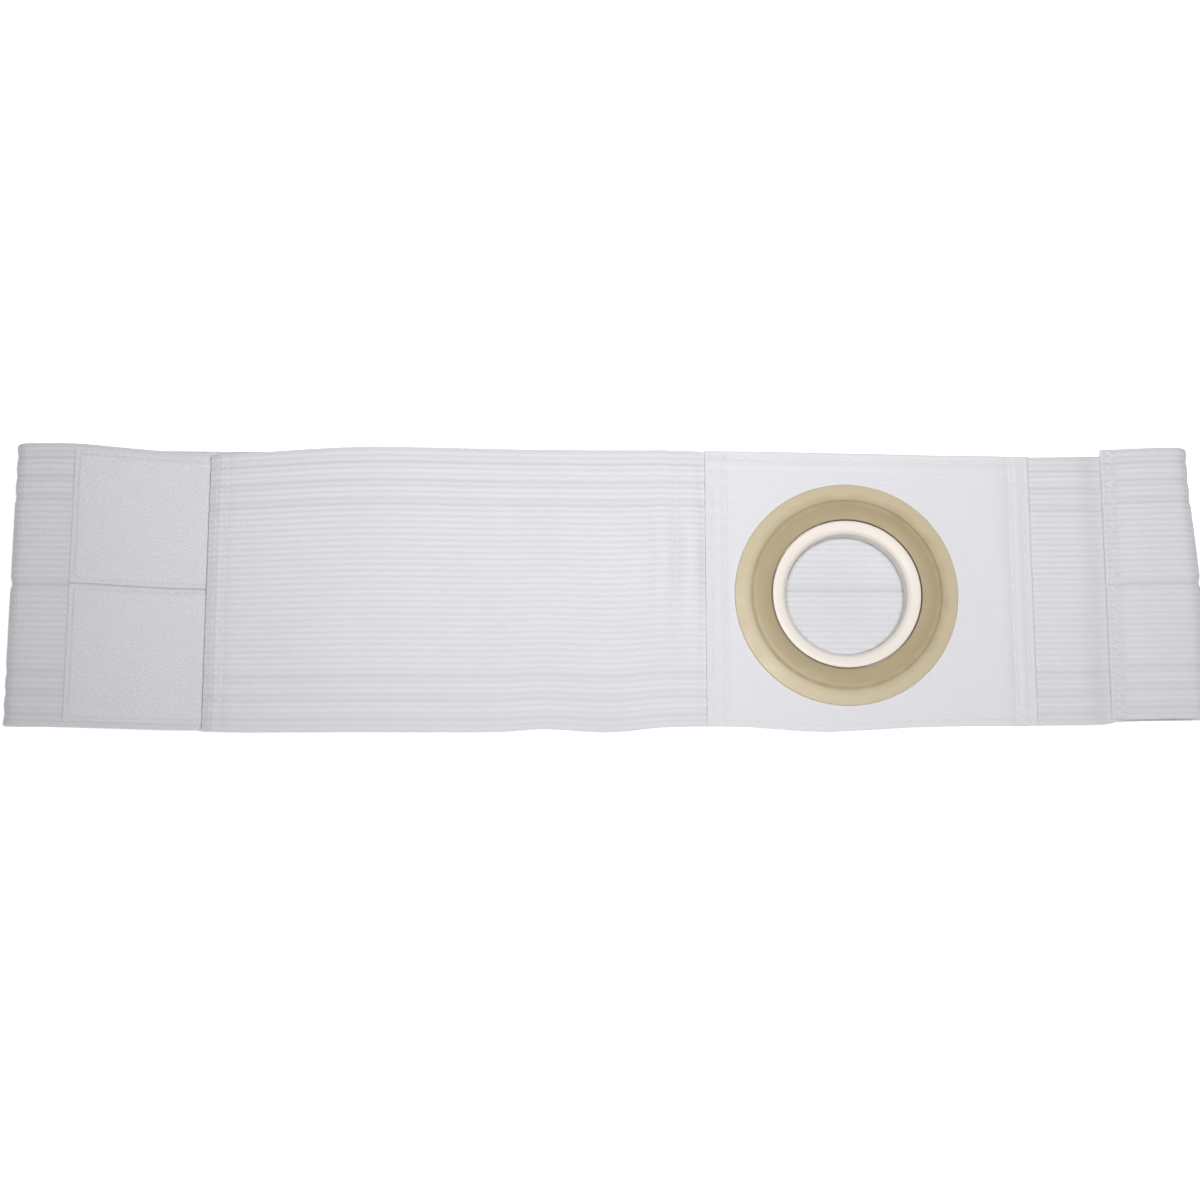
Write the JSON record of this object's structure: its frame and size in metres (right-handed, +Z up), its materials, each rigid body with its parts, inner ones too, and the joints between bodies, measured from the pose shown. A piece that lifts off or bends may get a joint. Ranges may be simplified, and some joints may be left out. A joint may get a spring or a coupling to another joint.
{
  "type": "ostomy support belt",
  "caption": "Elastic support belt with a pouch ring in a cloth panel, fastened into a loop with hook and loop tape and lying flat",
  "frame": {"origin": "on the surface the belt lies on, under the middle of its outline", "axes": "+X along the flattened belt from the closure to the sewn lap, +Y across it, +Z up out of the front layer with the ring"},
  "size_m": [0.436, 0.107, 0.0157],
  "materials": {
    "elastic": "white ribbed woven elastic, matt",
    "panel_cloth": "smooth white cloth, close plain weave",
    "loop_tape": "white loop pile, soft and matt",
    "hook_tape": "white moulded hook tape",
    "tan_plastic": "satin tan plastic",
    "ivory_plastic": "satin ivory plastic"
  },
  "bodies": {
    "root": {"back_elastic": "elastic", "front_elastic": "elastic", "side_elastic": "elastic", "ring_panel": "panel_cloth", "loop_patch_upper": "loop_tape", "loop_patch_lower": "loop_tape", "hook_patch": "hook_tape", "ring_flange": "tan_plastic", "ring_collar": "ivory_plastic"}
  },
  "joints": []
}
